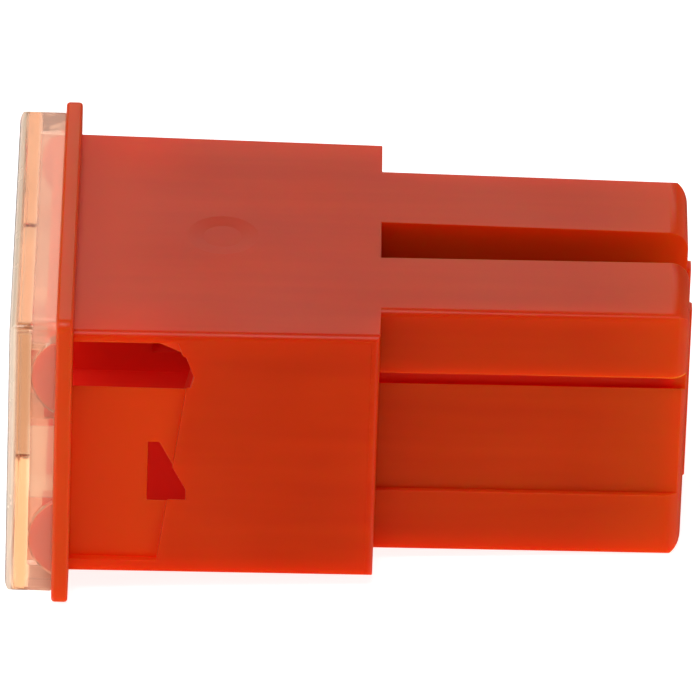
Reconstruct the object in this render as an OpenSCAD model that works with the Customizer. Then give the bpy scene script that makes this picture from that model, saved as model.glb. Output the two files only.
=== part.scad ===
// Plug-in cartridge fuse with two female blade sockets, lying on its wide side.
// X runs along the fuse: clear cover at -X, plug-in nose at +X.
// Y is the wide direction, Z is up. The origin is under the middle of the fuse.

/* [Rim and head] */
// Rim size across the wide direction
rim_w = 15.6; // [15.2:0.1:16.4]
// Rim size in height
rim_h = 12.2; // [11.9:0.1:12.8]
// Rim thickness along the fuse
rim_t = 0.6; // [0.5:0.05:0.9]
// Head width next to the rim
head_w = 13.8; // [13.4:0.1:14.2]
// How much narrower the head is at its shoulder
head_draft = 0.4; // [0.1:0.1:0.6]
// Height of head and nose, which are flush
body_h = 10.4; // [10.2:0.1:10.8]
// Head length from rim to shoulder
head_l = 11.1; // [10.5:0.1:12]
// Radius along the long edges
edge_r = 0.3; // [0.2:0.05:0.4]
// Depth of the grip recess under the rim on each narrow side
grip_d = 0.3; // [0.2:0.05:0.5]
// Length of the grip recess along the fuse
grip_l = 4.2; // [3.4:0.1:5]

/* [Nose] */
// Nose width at the shoulder
nose_w = 9.75; // [9.6:0.05:10]
// How much narrower the nose is at its end
nose_draft = 0.35; // [0.1:0.05:0.4]
// Nose length from shoulder to end wall
nose_l = 11.25; // [11:0.05:12.4]
// Radius round the end of the nose
end_r = 0.7; // [0.4:0.05:0.8]
// Width of the slot along the middle of each wide face
slot_w = 2.4; // [2:0.1:2.4]
// How much narrower that slot is at the end of the nose
slot_draft = 0.4; // [0:0.1:0.5]
// Depth of that slot
slot_d = 2.6; // [1.5:0.1:3]
// Width of the recess along each narrow side
recess_w = 5.1; // [3:0.1:6]
// Depth of that recess
recess_d = 0.2; // [0.15:0.05:0.25]
// Height of the key groove along one edge of the recess
groove_w = 0.55; // [0.4:0.05:0.8]
// Depth of the key groove
groove_d = 0.4; // [0.35:0.05:0.6]

/* [Blade entry] */
// Distance between the two blades
blade_pitch = 5.6; // [5.5:0.1:5.7]
// Thickness of the blade that plugs in
blade_t = 0.8; // [0.6:0.1:0.8]
// Width of the blade that plugs in
blade_w = 6.3; // [5.8:0.1:6.3]
// Wall at the end of the nose
end_wall = 0.9; // [0.7:0.1:1.2]

/* [Cover] */
// Height of the cover above the rim
cover_h = 1.7; // [1.5:0.1:2.4]
// Step from the rim's edge in to the cover
cover_inset = 0.3; // [0.2:0.05:0.4]
// Thickness of the cover's face
cover_t = 0.8; // [0.6:0.05:0.9]
// Radius round the cover's face
cover_r = 0.4; // [0.2:0.05:0.5]
// Height of the collar that locates the cover on the rim
collar_h = 0.4; // [0.3:0.1:0.6]

/* [Element] */
// Sheet thickness of the element
sheet = 0.45; // [0.35:0.05:0.45]
// Width of the narrow necks that melt
neck_w = 0.9; // [0.6:0.1:1.4]
// Thickness of the spring leaf
leaf_t = 0.2; // [0.15:0.05:0.2]
// Rise of the spring leaf
leaf_rise = 0.3; // [0.2:0.05:0.35]

/* [Hidden] */
$fn = 64;

// Stations along X
lug_h = 0.15;
total_l = cover_h + rim_t + head_l + nose_l + lug_h;
x_cover = -total_l / 2;
x_seat = x_cover + cover_h;
x_rim = x_seat + rim_t;
x_step = x_rim + head_l;
x_end = x_step + nose_l;
axis_z = rim_h / 2;
half_h = body_h / 2;

// Chambers
room_y = 5.2;
room_z = 4.15;
room_x = x_step - 1.2;
gap = 1.2;
bay_mid = blade_pitch / 2;
sock_in = bay_mid - gap / 2 - sheet;
sock_out = bay_mid + gap / 2 + sheet;
bay_x = x_end - end_wall;
collar_y = 6.7;
collar_z = 5.0;
lid_x = x_cover + cover_t;
key_z = 1.6;
sill = 0.85;

// Link
arch_x = x_cover + 8.1;
bend_r = 0.6;
sock_x0 = x_step + 1.2;
sock_x1 = bay_x;
sock_z = 4.0;
leaf_z = 2.2;
slug_y = 0.95;
slug_z = 1.0;
slug_x = 0.95;

module rounded(w, h, r) {
    square([w - 2 * r, h], center = true);
    square([w, h - 2 * r], center = true);
    for (i = [-1, 1], j = [-1, 1])
        translate([i * (w / 2 - r), j * (h / 2 - r)]) circle(r = r);
}

// Prism along X from a drawing whose x is Y and whose y is Z
module along_x(x0, x1) {
    translate([x0, 0, 0]) rotate([90, 0, 90]) linear_extrude(height = x1 - x0) children();
}

// Prism along Z, centred, from a drawing in X and Y
module along_z(h) {
    translate([0, 0, -h / 2]) linear_extrude(height = h) children();
}

// Prism along Y from y0 to y1, from a drawing whose x is X and whose y is Z
module along_y(y0, y1) {
    translate([0, y1, 0]) rotate([90, 0, 0]) linear_extrude(height = y1 - y0) children();
}

// What a round of radius r takes off a corner whose solid is at -x and -y
module corner_off(r) {
    difference() {
        translate([-r, -r]) square(r + 1);
        translate([-r, -r]) circle(r = r);
    }
}

// Block that gets narrower towards +X, with its four long edges rounded
module drafted(x0, x1, w0, w1, h, r) {
    l = x1 - x0;
    a = atan((w0 - w1) / 2 / l);
    difference() {
        along_z(h) polygon([[x0, -w0 / 2], [x1, -w1 / 2], [x1, w1 / 2], [x0, w0 / 2]]);
        for (i = [0, 1], j = [0, 1]) mirror([0, i, 0]) mirror([0, 0, j])
            translate([x0, w0 / 2, h / 2]) rotate([0, 0, -a]) along_x(-1, l + 1) corner_off(r);
    }
}

module head() {
    w1 = head_w - head_draft;
    difference() {
        drafted(x_rim - 0.1, x_step, head_w, w1, body_h, edge_r);
        for (i = [0, 1]) mirror([0, i, 0])
            translate([x_step, w1 / 2, 0]) along_z(body_h + 2) corner_off(edge_r);
    }
}

module nose() {
    w1 = nose_w - nose_draft;
    difference() {
        drafted(x_step - 1, x_end, nose_w + nose_draft / nose_l, w1, body_h, edge_r);
        // round end, across the height and across the width
        for (i = [0, 1]) {
            mirror([0, i, 0]) translate([x_end, w1 / 2, 0]) along_z(body_h + 2) corner_off(end_r);
            mirror([0, 0, i]) translate([x_end, 0, half_h]) along_y(-nose_w, nose_w) corner_off(end_r);
        }
        // slots in the wide faces
        for (j = [-1, 1]) translate([0, 0, j * half_h]) along_z(2 * slot_d) polygon([[x_step, -slot_w / 2],
            [x_end, -(slot_w - slot_draft) / 2], [x_end + 2, -(slot_w - slot_draft) / 2],
            [x_end + 2, (slot_w - slot_draft) / 2], [x_end, (slot_w - slot_draft) / 2], [x_step, slot_w / 2]]);
        // recesses in the narrow sides
        for (i = [0, 1]) mirror([0, i, 0]) along_z(recess_w) polygon([
            [x_step, nose_w / 2 - recess_d], [x_end + 2, w1 / 2 - recess_d - nose_draft / nose_l],
            [x_end + 2, nose_w], [x_step, nose_w]]);
        // key groove along one edge of each recess, wider inside
        for (i = [0, 1]) mirror([0, i, 0]) translate([x_step, -nose_w / 2, 0]) rotate([0, 0, atan(nose_draft / 2 / nose_l)])
            along_x(0, nose_l + 2) polygon([[-1, recess_w / 2], [-1, recess_w / 2 - groove_w], [recess_d, recess_w / 2 - groove_w],
                [groove_d, recess_w / 2 - groove_w - sill * (groove_d - recess_d)], [groove_d, recess_w / 2]]);
    }
}

// Blade entry at +Y: slot through the end wall with a bevelled mouth
module entry() {
    w = blade_t + 0.5;
    h = blade_w + 0.5;
    c = 0.35;
    translate([bay_x - 1, bay_mid - w / 2, -h / 2]) cube([end_wall + 3, w, h]);
    intersection() {
        along_z(h + 4) polygon([[x_end - c, bay_mid - w / 2], [x_end + 1, bay_mid - w / 2 - c - 1],
            [x_end + 1, bay_mid + w / 2 + c + 1], [x_end - c, bay_mid + w / 2]]);
        along_y(bay_mid - 2, bay_mid + 2) polygon([[x_end - c, -h / 2], [x_end + 1, -h / 2 - c - 1],
            [x_end + 1, h / 2 + c + 1], [x_end - c, h / 2]]);
    }
}

// Space above a sill at height z on the floor of the grip recess, where the sill falls inwards
module above_sill(z, top) {
    w1 = head_w / 2 - grip_d;
    along_x(x_rim, x_rim + grip_l + 1) polygon([[-w1 - 1, z + sill], [-room_y + 0.5, z - sill * (w1 - room_y + 0.5)],
        [-room_y + 0.5, top], [-w1 - 1, top]]);
}

// Grip recess with its wedge window and vent in the narrow side at -Y, drawn with +Z up
module grip() {
    w1 = head_w / 2;
    along_y(-w1 - 1, -w1 + grip_d) polygon([[x_rim, half_h - 0.4], [x_rim, -half_h + 0.6], [x_rim + grip_l - 1.0, -half_h + 0.6],
        [x_rim + grip_l, half_h - 1.7], [x_rim + grip_l - 0.4, half_h - 0.4]]);
    intersection() {
        along_y(-w1 - 1, -room_y + 0.5) polygon([[x_rim, half_h - 0.4], [x_rim, 0], [x_rim + grip_l - 0.6, 0],
            [x_rim + grip_l + 0.2, half_h - 1.85], [x_rim + grip_l - 0.1, half_h - 1.0], [x_rim + grip_l - 1.4, half_h - 0.4]]);
        above_sill(half_h - 2.45, half_h - 0.4);
    }
    intersection() {
        along_y(-w1 - 1, -room_y + 0.5) polygon([[x_rim + 2.8, 0.4], [x_rim + 2.8, -4], [x_rim + 4.2, -4],
            [x_rim + 4.2, -1.5], [x_rim + 3.2, 0.4]]);
        above_sill(-2.1, 2);
    }
}

// D-shaped catches standing on the rim at +Y, larger by c all round for their pockets in the cover
module catches(c) {
    for (j = [-1, 1]) intersection() {
        translate([x_seat + 0.9, 0, j * 3.5]) along_y(collar_y - 0.2, collar_y + 0.4 + c) circle(r = 1.75 + c);
        translate([lid_x - c, 0, -6]) cube([x_seat - lid_x + c + 0.05, 10, 12]);
    }
}

module housing() {
    color("firebrick") translate([0, 0, axis_z]) difference() {
        union() {
            along_x(x_seat, x_rim) rounded(rim_w, rim_h, 0.45);
            head();
            nose();
            along_x(x_seat - collar_h, x_seat + 0.1) rounded(2 * collar_y, 2 * collar_z, 0.6);
            for (i = [0, 1]) mirror([0, i, 0]) catches(0);
            // low ribs on the end of the nose, either side of its middle
            for (i = [-1, 1]) translate([x_end - 0.6, i * 1.4 - 0.28, -3.6]) cube([0.6 + lug_h, 0.56, 7.2]);
        }
        // head chamber, open under the cover
        translate([lid_x - 1, -room_y, -room_z]) cube([room_x - lid_x + 1, 2 * room_y, 2 * room_z]);
        // socket chambers and blade entries
        for (i = [0, 1]) mirror([0, i, 0]) {
            translate([room_x - 1, sock_in - 0.05, -room_z]) cube([bay_x - room_x + 1, sock_out - sock_in + 0.1, 2 * room_z]);
            entry();
        }
        // keyways for the cover's tabs
        for (i = [0, 1]) mirror([0, i, 0])
            translate([lid_x - 1, room_y - 0.5, -key_z]) cube([x_seat - lid_x + 1, 2, 2 * key_z]);
        for (i = [0, 1]) mirror([0, i, 0]) grip();
        // moulding marks on the wide faces
        for (i = [0, 1]) rotate([180 * i, 0, 0])
            translate([x_rim + 5.3, 0, half_h - 0.06]) cylinder(r = 1.3, h = 1);
    }
}

module cover() {
    w = rim_w - 2 * cover_inset;
    h = rim_h - 2 * cover_inset;
    color("sandybrown", 0.5) translate([0, 0, axis_z]) difference() {
        union() {
            difference() {
                along_x(x_cover, x_seat) rounded(w, h, 0.4);
                // round edge of the face
                for (i = [0, 1]) {
                    mirror([0, i, 0]) translate([x_cover, w / 2, 0]) mirror([1, 0, 0]) along_z(h + 2) corner_off(cover_r);
                    mirror([0, 0, i]) translate([x_cover, 0, h / 2]) mirror([1, 0, 0]) along_y(-w, w) corner_off(cover_r);
                }
                // room for the collar
                along_x(lid_x, x_seat + 1) rounded(2 * collar_y + 0.1, 2 * collar_z + 0.1, 0.65);
            }
            // tabs in the collar's keyways
            for (i = [0, 1]) mirror([0, i, 0])
                translate([lid_x - 0.1, -collar_y - 0.1, -key_z + 0.05]) cube([cover_h - cover_t + 0.05, collar_y - room_y + 0.2, 2 * key_z - 0.1]);
        }
        // pockets for the catches
        for (i = [0, 1]) mirror([0, i, 0]) catches(0.05);
        // shallow panel in the face
        along_x(x_cover - 1, x_cover + 0.12) rounded(w - 4, h - 3.6, 0.8);
    }
}

// Folded socket at +Y
module socket() {
    difference() {
        translate([0, bay_mid, 0]) along_x(sock_x0, sock_x1) rounded(gap + 2 * sheet, 2 * sock_z, 0.5);
        translate([sock_x0 - 1, bay_mid - gap / 2, -sock_z + sheet]) cube([sock_x1 - sock_x0 + 2, gap, 2 * (sock_z - sheet)]);
        translate([sock_x0 - 1, sock_in - 1, -1.2]) cube([sock_x1 - sock_x0 + 2, sheet + 1.2, 2.4]);
        // open mouth
        along_z(2 * (sock_z - sheet)) polygon([[sock_x1 - 0.7, bay_mid - gap / 2 + 0.1], [sock_x1 + 0.1, bay_mid - gap / 2 - 0.25],
            [sock_x1 + 0.1, bay_mid + gap / 2 + 0.2], [sock_x1 - 0.5, bay_mid + gap / 2 - 0.01]]);
    }
}

// Leg at +Y, from the socket's plate to the bend
module leg() {
    y0 = bay_mid + gap / 2;
    along_y(y0, y0 + sheet) polygon([[sock_x0 + 0.1, -3.4], [sock_x0 + 0.1, 3.4], [x_step - 0.6, 2.4], [arch_x + 4.4, 2.4],
        [arch_x + 3.2, 0.9], [arch_x + sheet + bend_r - 0.01, 0.9], [arch_x + sheet + bend_r - 0.01, -0.9], [arch_x + 3.2, -0.9],
        [arch_x + 4.4, -2.4], [x_step - 0.6, -2.4]]);
    along_z(1.8) intersection() {
        difference() {
            translate([arch_x + sheet + bend_r, y0 - bend_r]) circle(r = bend_r + sheet);
            translate([arch_x + sheet + bend_r, y0 - bend_r]) circle(r = bend_r);
        }
        translate([arch_x - 1, y0 - bend_r]) square([1 + sheet + bend_r, 3]);
    }
}

module fuse_element() {
    y1 = bay_mid + gap / 2 - bend_r + 0.01;
    color("peru") translate([0, 0, axis_z]) {
        for (i = [0, 1]) mirror([0, i, 0]) {
            socket();
            leg();
        }
        // bridge with two necks and the pad under the pellet
        along_x(arch_x, arch_x + sheet) polygon([
            [-y1, -0.9], [-y1 + 0.5, -0.9], [-y1 + 0.8, -neck_w / 2], [-slug_y - 0.3, -neck_w / 2], [-slug_y, -slug_z - 0.1],
            [slug_y, -slug_z - 0.1], [slug_y + 0.3, -neck_w / 2], [y1 - 0.8, -neck_w / 2], [y1 - 0.5, -0.9], [y1, -0.9],
            [y1, 0.9], [y1 - 0.5, 0.9], [y1 - 0.8, neck_w / 2], [slug_y + 0.3, neck_w / 2], [slug_y, slug_z + 0.1],
            [-slug_y, slug_z + 0.1], [-slug_y - 0.3, neck_w / 2], [-y1 + 0.8, neck_w / 2], [-y1 + 0.5, 0.9], [-y1, 0.9]]);
        // claws over the pellet
        for (j = [0, 1]) mirror([0, 0, j]) along_y(-0.7, 0.7) difference() {
            union() {
                translate([arch_x - slug_x, slug_z]) square([slug_x + sheet, sheet]);
                translate([arch_x - slug_x - sheet, 0.3]) square([sheet, slug_z - 0.3]);
                intersection() {
                    translate([arch_x - slug_x, slug_z]) circle(r = sheet);
                    translate([arch_x - slug_x - 1, slug_z]) square([1, 1]);
                }
            }
        }
    }
}

module tin_pellet() {
    color("silver") translate([0, 0, axis_z]) difference() {
        translate([arch_x - slug_x / 2, 0, 0]) along_y(-slug_y, slug_y) rounded(slug_x, 2 * slug_z, 0.3);
    }
}

// Bowed leaf clipped over the lips of the socket at +Y
module leaf() {
    y0 = bay_mid - gap / 2;
    xa = sock_x0 + 0.7;
    xb = sock_x1 - 0.7;
    c = (xb - xa) / 2;
    r = (c * c + leaf_rise * leaf_rise) / 2 / leaf_rise;
    along_z(2 * leaf_z) {
        intersection() {
            difference() {
                translate([(xa + xb) / 2, y0 + leaf_rise - r]) circle(r = r + leaf_t, $fn = 200);
                translate([(xa + xb) / 2, y0 + leaf_rise - r]) circle(r = r, $fn = 200);
            }
            translate([xa, y0 - 1]) square([xb - xa, 3]);
        }
        translate([sock_x0 - leaf_t, y0]) square([xa - sock_x0 + leaf_t + 0.05, leaf_t]);
        translate([xb - 0.05, y0]) square([sock_x1 - xb, leaf_t]);
    }
    // hooks over the lips' ends
    along_z(2.2) {
        translate([sock_x0 - leaf_t, sock_in + 0.05]) square([leaf_t, sheet + 0.05]);
    }
}

module contact_spring_front() {
    color("lightgray") translate([0, 0, axis_z]) mirror([0, 1, 0]) leaf();
}

module contact_spring_back() {
    color("lightgray") translate([0, 0, axis_z]) leaf();
}

housing();
cover();
fuse_element();
tin_pellet();
contact_spring_front();
contact_spring_back();
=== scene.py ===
import math

import bmesh
import bpy
from mathutils import Matrix, Vector


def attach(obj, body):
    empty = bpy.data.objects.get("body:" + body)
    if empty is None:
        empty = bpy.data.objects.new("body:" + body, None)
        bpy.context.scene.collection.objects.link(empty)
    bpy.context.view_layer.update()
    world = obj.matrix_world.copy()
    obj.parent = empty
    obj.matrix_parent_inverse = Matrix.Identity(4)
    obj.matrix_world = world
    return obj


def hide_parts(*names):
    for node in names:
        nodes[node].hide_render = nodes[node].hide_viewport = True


MM = 0.001
AXIS_Z = 6.1  # height of the fuse's long axis, in millimetres
BODY_LO, BODY_HI = (0.51, 0.027, 0.0010), (0.60, 0.039, 0.0016)
NOSE_LO, NOSE_HI = (0.54, 0.033, 0.0012), (0.585, 0.041, 0.0016)
# the colours for the tip, the strip by the rim, the recessed panel and the catches are painted glow; those for the
# inside and the key groove are painted shade
TIP_GLOW_COL = (0.66, 0.055, 0.002)
RIM_GLOW_COL = (0.66, 0.045, 0.002)
PANEL_GLOW_COL = (0.70, 0.049, 0.002)
RIM_COL = (0.58, 0.062, 0.006)
CATCH_GLOW_COL = (0.74, 0.14, 0.06)
INSIDE_SHADE_COL = (0.70, 0.011, 0.0012)
GROOVE_SHADE_COL = (0.88, 0.010, 0.001)
# the first of these is painted light along the cover's outer edge
EDGE_LIGHT_COL, MILKY_COL, TAB_COL = (0.97, 0.78, 0.60), (0.88, 0.50, 0.36), (0.98, 0.72, 0.50)
DEPTH = 2.5
FACE_CLEAR, SKIRT_CLEAR = 0.96, 0.83

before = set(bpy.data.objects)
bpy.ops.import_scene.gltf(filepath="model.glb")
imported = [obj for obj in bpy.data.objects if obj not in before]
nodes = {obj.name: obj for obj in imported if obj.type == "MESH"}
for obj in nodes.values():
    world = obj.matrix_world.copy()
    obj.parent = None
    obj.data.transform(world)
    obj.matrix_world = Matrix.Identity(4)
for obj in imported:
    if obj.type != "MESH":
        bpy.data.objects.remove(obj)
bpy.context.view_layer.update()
scene = bpy.context.scene


# ---------------------------------------------------------------- node helpers
def tree(name):
    m = bpy.data.materials.new(name)
    m.use_nodes = True
    nt = m.node_tree
    nt.nodes.clear()
    out = nt.nodes.new("ShaderNodeOutputMaterial")
    p = nt.nodes.new("ShaderNodeBsdfPrincipled")
    nt.links.new(p.outputs[0], out.inputs["Surface"])
    return m, nt, p


def coords(nt):
    return nt.nodes.new("ShaderNodeTexCoord").outputs["Object"]


def axes(nt, vec):
    s = nt.nodes.new("ShaderNodeSeparateXYZ")
    nt.links.new(vec, s.inputs[0])
    return s.outputs["X"], s.outputs["Y"], s.outputs["Z"]


def noise(nt, vec, scale, detail=3.0, rough=0.5, distort=0.0):
    n = nt.nodes.new("ShaderNodeTexNoise")
    n.inputs["Scale"].default_value = scale
    n.inputs["Detail"].default_value = detail
    n.inputs["Roughness"].default_value = rough
    n.inputs["Distortion"].default_value = distort
    nt.links.new(vec, n.inputs["Vector"])
    return n.outputs["Fac"]


def stretched(nt, vec, scale):
    mp = nt.nodes.new("ShaderNodeMapping")
    mp.inputs["Scale"].default_value = scale
    nt.links.new(vec, mp.inputs["Vector"])
    return mp.outputs["Vector"]


def ramp(nt, fac, stops):
    r = nt.nodes.new("ShaderNodeValToRGB")
    e = r.color_ramp.elements
    while len(e) < len(stops):
        e.new(0.5)
    for el, (pos, col) in zip(e, stops):
        el.position = pos
        el.color = (*col, 1.0) if len(col) == 3 else col
    nt.links.new(fac, r.inputs["Fac"])
    return r.outputs["Color"]


def span(nt, fac, a, b, lo=0.0, hi=1.0, smooth=False):
    r = nt.nodes.new("ShaderNodeMapRange")
    r.interpolation_type = "SMOOTHSTEP" if smooth else "LINEAR"
    for k, v in zip(("From Min", "From Max", "To Min", "To Max"), (a, b, lo, hi)):
        r.inputs[k].default_value = v
    nt.links.new(fac, r.inputs["Value"])
    return r.outputs["Result"]


def calc(nt, op, a, b):
    n = nt.nodes.new("ShaderNodeMath")
    n.operation = op
    for s, v in zip(n.inputs, (a, b)):
        if isinstance(v, (int, float)):
            s.default_value = v
        else:
            nt.links.new(v, s)
    return n.outputs[0]


def blend(nt, fac, a, b):
    n = nt.nodes.new("ShaderNodeMix")
    n.data_type = "RGBA"
    nt.links.new(fac, n.inputs["Factor"])
    for s, v in ((n.inputs[6], a), (n.inputs[7], b)):
        if isinstance(v, tuple):
            s.default_value = (*v, 1.0)
        else:
            nt.links.new(v, s)
    return n.outputs[2]


def bump(nt, height, strength, dist, normal=None):
    b = nt.nodes.new("ShaderNodeBump")
    b.inputs["Strength"].default_value = strength
    b.inputs["Distance"].default_value = dist
    nt.links.new(height, b.inputs["Height"])
    if normal is not None:
        nt.links.new(normal, b.inputs["Normal"])
    return b.outputs["Normal"]


# ---------------------------------------------------------------- materials
def product(nt, *facs):
    r = facs[0]
    for f in facs[1:]:
        r = calc(nt, "MULTIPLY", r, f)
    return r


def red_plastic():
    """Translucent red moulding: painted glow makes it more orange by the rim, on the recessed panel, on the catches and
    at the tip; painted shade makes it deeper, and it is matt, inside the openings and the key groove.
    """
    m, nt, p = tree("red_plastic")
    c = coords(nt)
    x, y, z = axes(nt, c)
    side = calc(nt, "ABSOLUTE", y, 0.0)
    level = calc(nt, "SUBTRACT", z, AXIS_Z * MM)
    height = calc(nt, "ABSOLUTE", level, 0.0)

    def from_to(v, lo, hi):
        return span(nt, v, lo * MM, hi * MM)

    # inside of the chamber, of the openings into it, and of the key groove: where the painted shade goes
    room = product(nt, from_to(side, 5.3, 5.22), from_to(height, 4.3, 4.18), from_to(x, 0.2, 0.0))
    window = product(nt, from_to(side, 6.58, 6.53), from_to(height, 5.0, 4.9), from_to(x, -10.2, -10.1), from_to(x, 0.4, 0.2))
    flank = calc(nt, "ADD", side, span(nt, x, 1.0 * MM, 12.25 * MM, 0.0, 0.175 * MM))
    groove = product(nt, from_to(flank, 4.66, 4.63), from_to(side, 3.9, 4.0), from_to(level, 2.62, 2.58),
                     from_to(level, 1.6, 1.65), from_to(x, 0.9, 1.0), from_to(x, 11.9, 11.6))
    core = calc(nt, "MAXIMUM", room, window)

    flow = noise(nt, c, 240.0, 1.0, 0.5)
    streak = noise(nt, stretched(nt, c, (90.0, 1100.0, 1100.0)), 1.0, 2.0, 0.5)
    body = ramp(nt, calc(nt, "ADD", calc(nt, "MULTIPLY", flow, 0.5), calc(nt, "MULTIPLY", streak, 0.5)), [(0.3, BODY_LO), (0.7, BODY_HI)])
    nose = ramp(nt, streak, [(0.3, NOSE_LO), (0.7, NOSE_HI)])
    body = blend(nt, span(nt, x, 0.0, 4.0 * MM, 0.0, 0.7, True), body, nose)
    # painted glow: the nose turns lighter and more orange towards its tip
    body = blend(nt, span(nt, x, 8.0 * MM, 12.0 * MM, 0.0, 0.8, True), body, TIP_GLOW_COL)
    # painted glow: the body turns lighter and more orange towards the rim, standing in for light through the thin walls
    # there
    near = span(nt, calc(nt, "ADD", x, span(nt, flow, 0.2, 0.8, -0.6 * MM, 0.6 * MM)), -6.0 * MM, -10.4 * MM, 0.0, 1.0, True)
    col = blend(nt, near, body, RIM_GLOW_COL)
    # painted glow on the recessed panel by the rim, standing in for light through its thinner wall
    panel = product(nt, from_to(side, 6.66, 6.62), from_to(height, 5.0, 4.9), from_to(x, -10.2, -10.1), from_to(x, -5.8, -5.9))
    col = blend(nt, panel, col, PANEL_GLOW_COL)
    col = blend(nt, from_to(x, -10.0, -10.2), col, RIM_COL)
    # painted glow on the catches and collar beyond the rim, standing in for light through thin plastic lit from both
    # sides
    col = blend(nt, from_to(x, -10.72, -10.82), col, CATCH_GLOW_COL)
    # painted shade: deeper, saturated red inside the chamber and the openings into it
    col = blend(nt, core, col, INSIDE_SHADE_COL)
    # painted shade: deeper, saturated red in the key groove
    col = blend(nt, groove, col, GROOVE_SHADE_COL)
    nt.links.new(col, p.inputs["Base Color"])
    p.subsurface_method = "RANDOM_WALK"
    p.inputs["Subsurface Weight"].default_value = 0.9
    p.inputs["Subsurface Radius"].default_value = (1.0, 0.12, 0.04)
    p.inputs["Subsurface Scale"].default_value = DEPTH * MM
    p.inputs["IOR"].default_value = 1.5
    p.inputs["Specular IOR Level"].default_value = 0.2
    gloss = span(nt, noise(nt, c, 300.0, 0.0), 0.2, 0.8, 0.30, 0.37)
    nt.links.new(calc(nt, "ADD", gloss, calc(nt, "MULTIPLY", core, 0.5)), p.inputs["Roughness"])
    grain = noise(nt, c, 5200.0, 2.0, 0.6)
    wave = noise(nt, stretched(nt, c, (0.6, 1.0, 1.0)), 900.0, 2.0, 0.5)
    nt.links.new(bump(nt, grain, 0.12, 0.012 * MM, bump(nt, wave, 0.10, 0.03 * MM)), p.inputs["Normal"])
    return m


def amber_plastic():
    """Clear amber cap: polished face, satin skirt, frosted outer edge with painted light along it."""
    m, nt, p = tree("amber_plastic")
    c = coords(nt)
    x, y, z = axes(nt, c)
    skirt = span(nt, x, -11.75 * MM, -11.45 * MM, 0.0, 1.0, True)
    side = calc(nt, "ABSOLUTE", y, 0.0)
    height = calc(nt, "ABSOLUTE", calc(nt, "SUBTRACT", z, AXIS_Z * MM), 0.0)
    # painted light along the cover's outer edge, where the cap is also frosted: less clear and rougher
    frosted_lit_edge = calc(nt, "MAXIMUM", span(nt, side, 7.15 * MM, 7.3 * MM), span(nt, height, 5.45 * MM, 5.6 * MM))
    frosted_lit_edge = product(nt, frosted_lit_edge, span(nt, x, -12.05 * MM, -12.2 * MM))
    milky = product(nt, span(nt, height, 5.0 * MM, 5.15 * MM), skirt)
    tab = product(nt, span(nt, height, 1.6 * MM, 1.5 * MM), skirt)
    tab = product(nt, tab, span(nt, side, 6.2 * MM, 6.6 * MM))
    swirl = noise(nt, c, 180.0, 2.0, 0.5)
    face = ramp(nt, swirl, [(0.3, (0.575, 0.270, 0.132)), (0.7, (0.65, 0.315, 0.162))])
    wall = ramp(nt, swirl, [(0.3, (0.86, 0.57, 0.43)), (0.7, (0.90, 0.63, 0.49))])
    # the outer edge takes the painted edge-light colour
    col = blend(nt, frosted_lit_edge, blend(nt, skirt, face, wall), EDGE_LIGHT_COL)
    col = blend(nt, tab, col, TAB_COL)
    nt.links.new(blend(nt, milky, col, MILKY_COL), p.inputs["Base Color"])
    clear = calc(nt, "SUBTRACT", span(nt, skirt, 0.0, 1.0, FACE_CLEAR, SKIRT_CLEAR), calc(nt, "MULTIPLY", frosted_lit_edge, 0.66))
    nt.links.new(calc(nt, "SUBTRACT", clear, calc(nt, "MULTIPLY", calc(nt, "ADD", milky, tab), 0.25)), p.inputs["Transmission Weight"])
    p.inputs["IOR"].default_value = 1.45
    haze = span(nt, noise(nt, c, 500.0, 3.0, 0.6), 0.3, 0.7, 0.03, 0.09)
    satin = calc(nt, "ADD", calc(nt, "MULTIPLY", skirt, 0.04), calc(nt, "MULTIPLY", frosted_lit_edge, 0.2))
    nt.links.new(calc(nt, "ADD", haze, satin), p.inputs["Roughness"])
    nt.links.new(bump(nt, noise(nt, c, 900.0, 2.0, 0.5), 0.08, 0.03 * MM), p.inputs["Normal"])
    return m


def metal(name, lo, hi, rough, grain=(40.0, 900.0, 900.0), plated=None):
    m, nt, p = tree(name)
    c = coords(nt)
    streak = noise(nt, stretched(nt, c, grain), 3.0, 3.0, 0.6)
    stain = noise(nt, c, 520.0, 4.0, 0.65)
    col = ramp(nt, streak, [(0.3, lo), (0.7, hi)])
    if plated:
        x, y, z = axes(nt, c)
        edge = calc(nt, "ADD", x, span(nt, stain, 0.3, 0.7, -0.4 * MM, 0.4 * MM))
        coat = ramp(nt, stain, [(0.3, plated[0]), (0.7, plated[1])])
        col = blend(nt, span(nt, edge, 0.4 * MM, 0.9 * MM, 0.0, 1.0, True), col, coat)
    nt.links.new(col, p.inputs["Base Color"])
    p.inputs["Metallic"].default_value = 0.82
    nt.links.new(span(nt, calc(nt, "ADD", streak, stain), 0.6, 1.4, rough[0], rough[1]), p.inputs["Roughness"])
    nt.links.new(bump(nt, streak, 0.15, 0.02 * MM), p.inputs["Normal"])
    return m


MAT = {
    "housing": red_plastic(),
    "cover": amber_plastic(),
    "fuse_element": metal("copper_alloy", (0.66, 0.36, 0.20), (0.84, 0.52, 0.34), (0.28, 0.48),
                          plated=((0.60, 0.60, 0.58), (0.76, 0.75, 0.73))),
    "tin_pellet": metal("tin", (0.55, 0.55, 0.54), (0.75, 0.75, 0.73), (0.35, 0.55), (500.0, 500.0, 500.0)),
    "contact_spring": metal("spring_steel", (0.50, 0.50, 0.51), (0.70, 0.70, 0.71), (0.2, 0.35)),
}


# ---------------------------------------------------------------- pieces
def narrow(f):
    return f.calc_area() / max(e.calc_length() for e in f.edges) < 0.09


def soft_marks(bm):
    """The shallow round marks on the wide faces run out in a soft shoulder."""
    floor = [f for f in bm.faces if abs(f.normal.z) > 0.99 and 5.1 < abs(f.calc_center_median().z - AXIS_Z) < 5.18]
    for f in floor:
        mid = f.calc_center_median()
        for v in f.verts:
            v.co.xy = mid.xy + (v.co.xy - mid.xy) * 0.55


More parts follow.
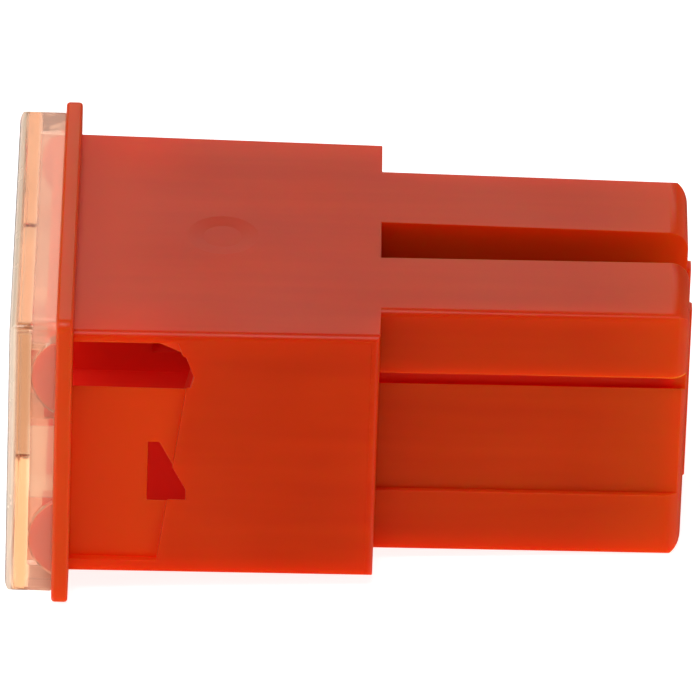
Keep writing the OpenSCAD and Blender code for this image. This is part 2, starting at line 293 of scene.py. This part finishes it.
def on_mark(e):
    p = (e.verts[0].co + e.verts[1].co) / 2
    return abs(p.z - AXIS_Z * MM) > 5.1 * MM and math.hypot(p.x + 4.8 * MM, p.y) < 1.4 * MM


def moulded(name, passes, slot=None, shape=None):
    """The node's own shape with its edges broken, as a clean mesh of flat and rounded faces."""
    bm = bmesh.new()
    bm.from_mesh(nodes[name].data)
    bmesh.ops.transform(bm, matrix=Matrix.Scale(1.0 / MM, 4), verts=bm.verts)
    bmesh.ops.remove_doubles(bm, verts=bm.verts, dist=1e-4)
    bmesh.ops.dissolve_limit(bm, angle_limit=math.radians(0.4), verts=bm.verts, edges=bm.edges, delimit=set())
    box = [(min(v.co[i] for v in bm.verts), max(v.co[i] for v in bm.verts)) for i in range(3)]
    if shape:
        bm.normal_update()
        shape(bm)
    for pick, offset, segments in passes:
        edges = []
        for e in bm.edges:
            if len(e.link_faces) != 2 or not e.is_convex or e.calc_face_angle(0.0) < math.radians(35.0):
                continue
            if all(narrow(f) for f in e.link_faces):
                continue
            if pick(e, (e.verts[0].co + e.verts[1].co) / 2):
                edges.append(e)
        bmesh.ops.bevel(bm, geom=edges, offset=offset, offset_type="OFFSET", segments=segments, profile=0.5,
                        affect="EDGES", clamp_overlap=False, loop_slide=True)
    for v in bm.verts:
        v.co = [min(max(c, lo), hi) for c, (lo, hi) in zip(v.co, box)]
    bmesh.ops.dissolve_degenerate(bm, dist=1e-5, edges=bm.edges)
    bmesh.ops.transform(bm, matrix=Matrix.Scale(MM, 4), verts=bm.verts)
    bm.normal_update()
    for f in bm.faces:
        f.smooth = True
    for e in bm.edges:
        e.smooth = e.calc_face_angle(0.0) < math.radians(40.0 if shape is None or not on_mark(e) else 4.0)
    me = bpy.data.meshes.new(name + "_finished")
    bm.to_mesh(me)
    bm.free()
    o = bpy.data.objects.new(name + "_finished", me)
    scene.collection.objects.link(o)
    mod = o.modifiers.new("normals", "WEIGHTED_NORMAL")
    mod.keep_sharp = True
    mod.weight = 60
    me.materials.append(MAT[slot or name])
    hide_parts(name)
    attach(o, "root")
    return o


def rim_edge(e, p):
    return -10.75 < p.x < -10.05 and (abs(p.y) > 7.0 or abs(p.z - AXIS_Z) > 5.6)


def housing_edge(e, p):
    x, y, z = p.x, abs(p.y), abs(p.z - AXIS_Z)
    if x < -10.05:
        return False
    if x < -0.15 and y < 5.3 and z < 4.25:
        return False
    if x < 11.3 and 1.6 < y < 4.0 and z < 4.25:
        return False
    if x > 11.5 and y > 3.95:
        return False
    if x > 12.3 and 1.6 < y < 1.75:
        return False
    return True


def cover_edge(e, p):
    return not (p.x > -11.75 and abs(p.y) < 7.2 and abs(p.z - AXIS_Z) < 5.3) and p.x > -12.35


def any_edge(e, p):
    return True


housing = moulded("housing", [(rim_edge, 0.12, 3), (housing_edge, 0.05, 2)], shape=soft_marks)
cover = moulded("cover", [(cover_edge, 0.05, 2)])
element = moulded("fuse_element", [(any_edge, 0.04, 2)])
pellet = moulded("tin_pellet", [(any_edge, 0.06, 3)])
for side in ("front", "back"):
    moulded("contact_spring_" + side, [(any_edge, 0.02, 2)], "contact_spring")
cover.visible_shadow = False

# ---------------------------------------------------------------- floor
SLOPE = 0.0415
TOUCH = Vector((-10.1 * MM, 0.0, 0.0))
tilt = math.atan(SLOPE)


def floor_mesh():
    bm = bmesh.new()
    s = 1.2
    vs = [bm.verts.new((x * s, y * s, 0.0)) for x, y in ((-1, -1), (1, -1), (1, 1), (-1, 1))]
    bm.faces.new(vs)
    me = bpy.data.meshes.new("floor")
    bm.to_mesh(me)
    bm.free()
    o = bpy.data.objects.new("floor", me)
    o.matrix_world = Matrix.Translation(TOUCH) @ Matrix.Rotation(-tilt, 4, "Y")
    scene.collection.objects.link(o)
    m, nt, p = tree("paper")
    col = ramp(nt, noise(nt, coords(nt), 30.0, 4.0, 0.6), [(0.3, (0.59, 0.59, 0.59)), (0.7, (0.62, 0.62, 0.62))])
    nt.links.new(col, p.inputs["Base Color"])
    p.inputs["Roughness"].default_value = 0.9
    p.inputs["Specular IOR Level"].default_value = 0.1
    p.inputs["Emission Color"].default_value = (1.0, 1.0, 1.0, 1.0)
    p.inputs["Emission Strength"].default_value = 0.85
    me.materials.append(m)
    return o


floor = floor_mesh()
floor.visible_glossy = False


# ---------------------------------------------------------------- light
def area(name, loc, aim, size, power, col=(1, 1, 1)):
    d = bpy.data.lights.new(name, "AREA")
    d.shape = "SQUARE"
    d.size = size
    d.energy = power
    d.color = col
    o = bpy.data.objects.new(name, d)
    o.location = loc
    o.rotation_mode = "QUATERNION"
    o.rotation_quaternion = (Vector(aim) - Vector(loc)).to_track_quat("-Z", "Y")
    scene.collection.objects.link(o)
    return o


area("key", (-0.06, -0.17, 0.57), (0, 0, 0), 0.22, 1.52)
area("back", (0.0, 0.60, 0.40), (0, 0, 0.005), 0.45, 0.90, (1.0, 0.99, 0.88))
area("side", (-0.50, -0.06, 0.25), (-0.01, 0, 0.006), 0.55, 1.75)
area("right", (0.45, -0.25, 0.18), (0.01, 0, 0.006), 0.30, 0.5)

world = bpy.data.worlds.new("studio")
scene.world = world
world.use_nodes = True
wn = world.node_tree
bg = wn.nodes["Background"]
bg.inputs["Color"].default_value = (1.0, 1.0, 1.0, 1.0)
bg.inputs["Strength"].default_value = 0.06
seen = wn.nodes.new("ShaderNodeBackground")
seen.inputs["Color"].default_value = (1.0, 1.0, 1.0, 1.0)
seen.inputs["Strength"].default_value = 1.0
path = wn.nodes.new("ShaderNodeLightPath")
pick = wn.nodes.new("ShaderNodeMixShader")
way = axes(wn, wn.nodes.new("ShaderNodeTexCoord").outputs["Generated"])
low = product(wn, span(wn, way[0], -0.12, -0.35), span(wn, way[2], -0.05, -0.2))
cards = product(wn, calc(wn, "MAXIMUM", low, span(wn, way[0], 0.45, 0.7, 0.0, 0.45)), path.outputs["Is Glossy Ray"])
white = calc(wn, "MAXIMUM", path.outputs["Is Camera Ray"], path.outputs["Is Transmission Ray"])
wn.links.new(calc(wn, "MAXIMUM", white, cards), pick.inputs[0])
wn.links.new(bg.outputs[0], pick.inputs[1])
wn.links.new(seen.outputs[0], pick.inputs[2])
wn.links.new(pick.outputs[0], wn.nodes["World Output"].inputs["Surface"])

# ---------------------------------------------------------------- camera
PSI, ELEV, ROLL = (math.radians(v) for v in (-0.656, 32.691, 1.968))
DIST, PX_MM = 500.0, 27.238
AIM = Vector((-0.016, 0.0, 6.469)) * MM
back = Vector((math.sin(PSI) * math.cos(ELEV), -math.cos(PSI) * math.cos(ELEV), math.sin(ELEV)))
right = Vector((math.cos(PSI), math.sin(PSI), 0.0))
up = back.cross(right)
cx = right * math.cos(ROLL) + up * math.sin(ROLL)
cy = up * math.cos(ROLL) - right * math.sin(ROLL)
cam_data = bpy.data.cameras.new("camera")
cam_data.sensor_width = 36.0
cam_data.lens = PX_MM * DIST * 36.0 / 700.0
cam_data.clip_start = 0.01
cam_data.clip_end = 5.0
cam = bpy.data.objects.new("camera", cam_data)
rot = Matrix((cx, cy, back)).transposed().to_4x4()
cam.matrix_world = Matrix.Translation(AIM + back * DIST * MM) @ rot
scene.collection.objects.link(cam)
scene.camera = cam

scene.view_settings.view_transform = "Standard"
scene.view_settings.look = "None"
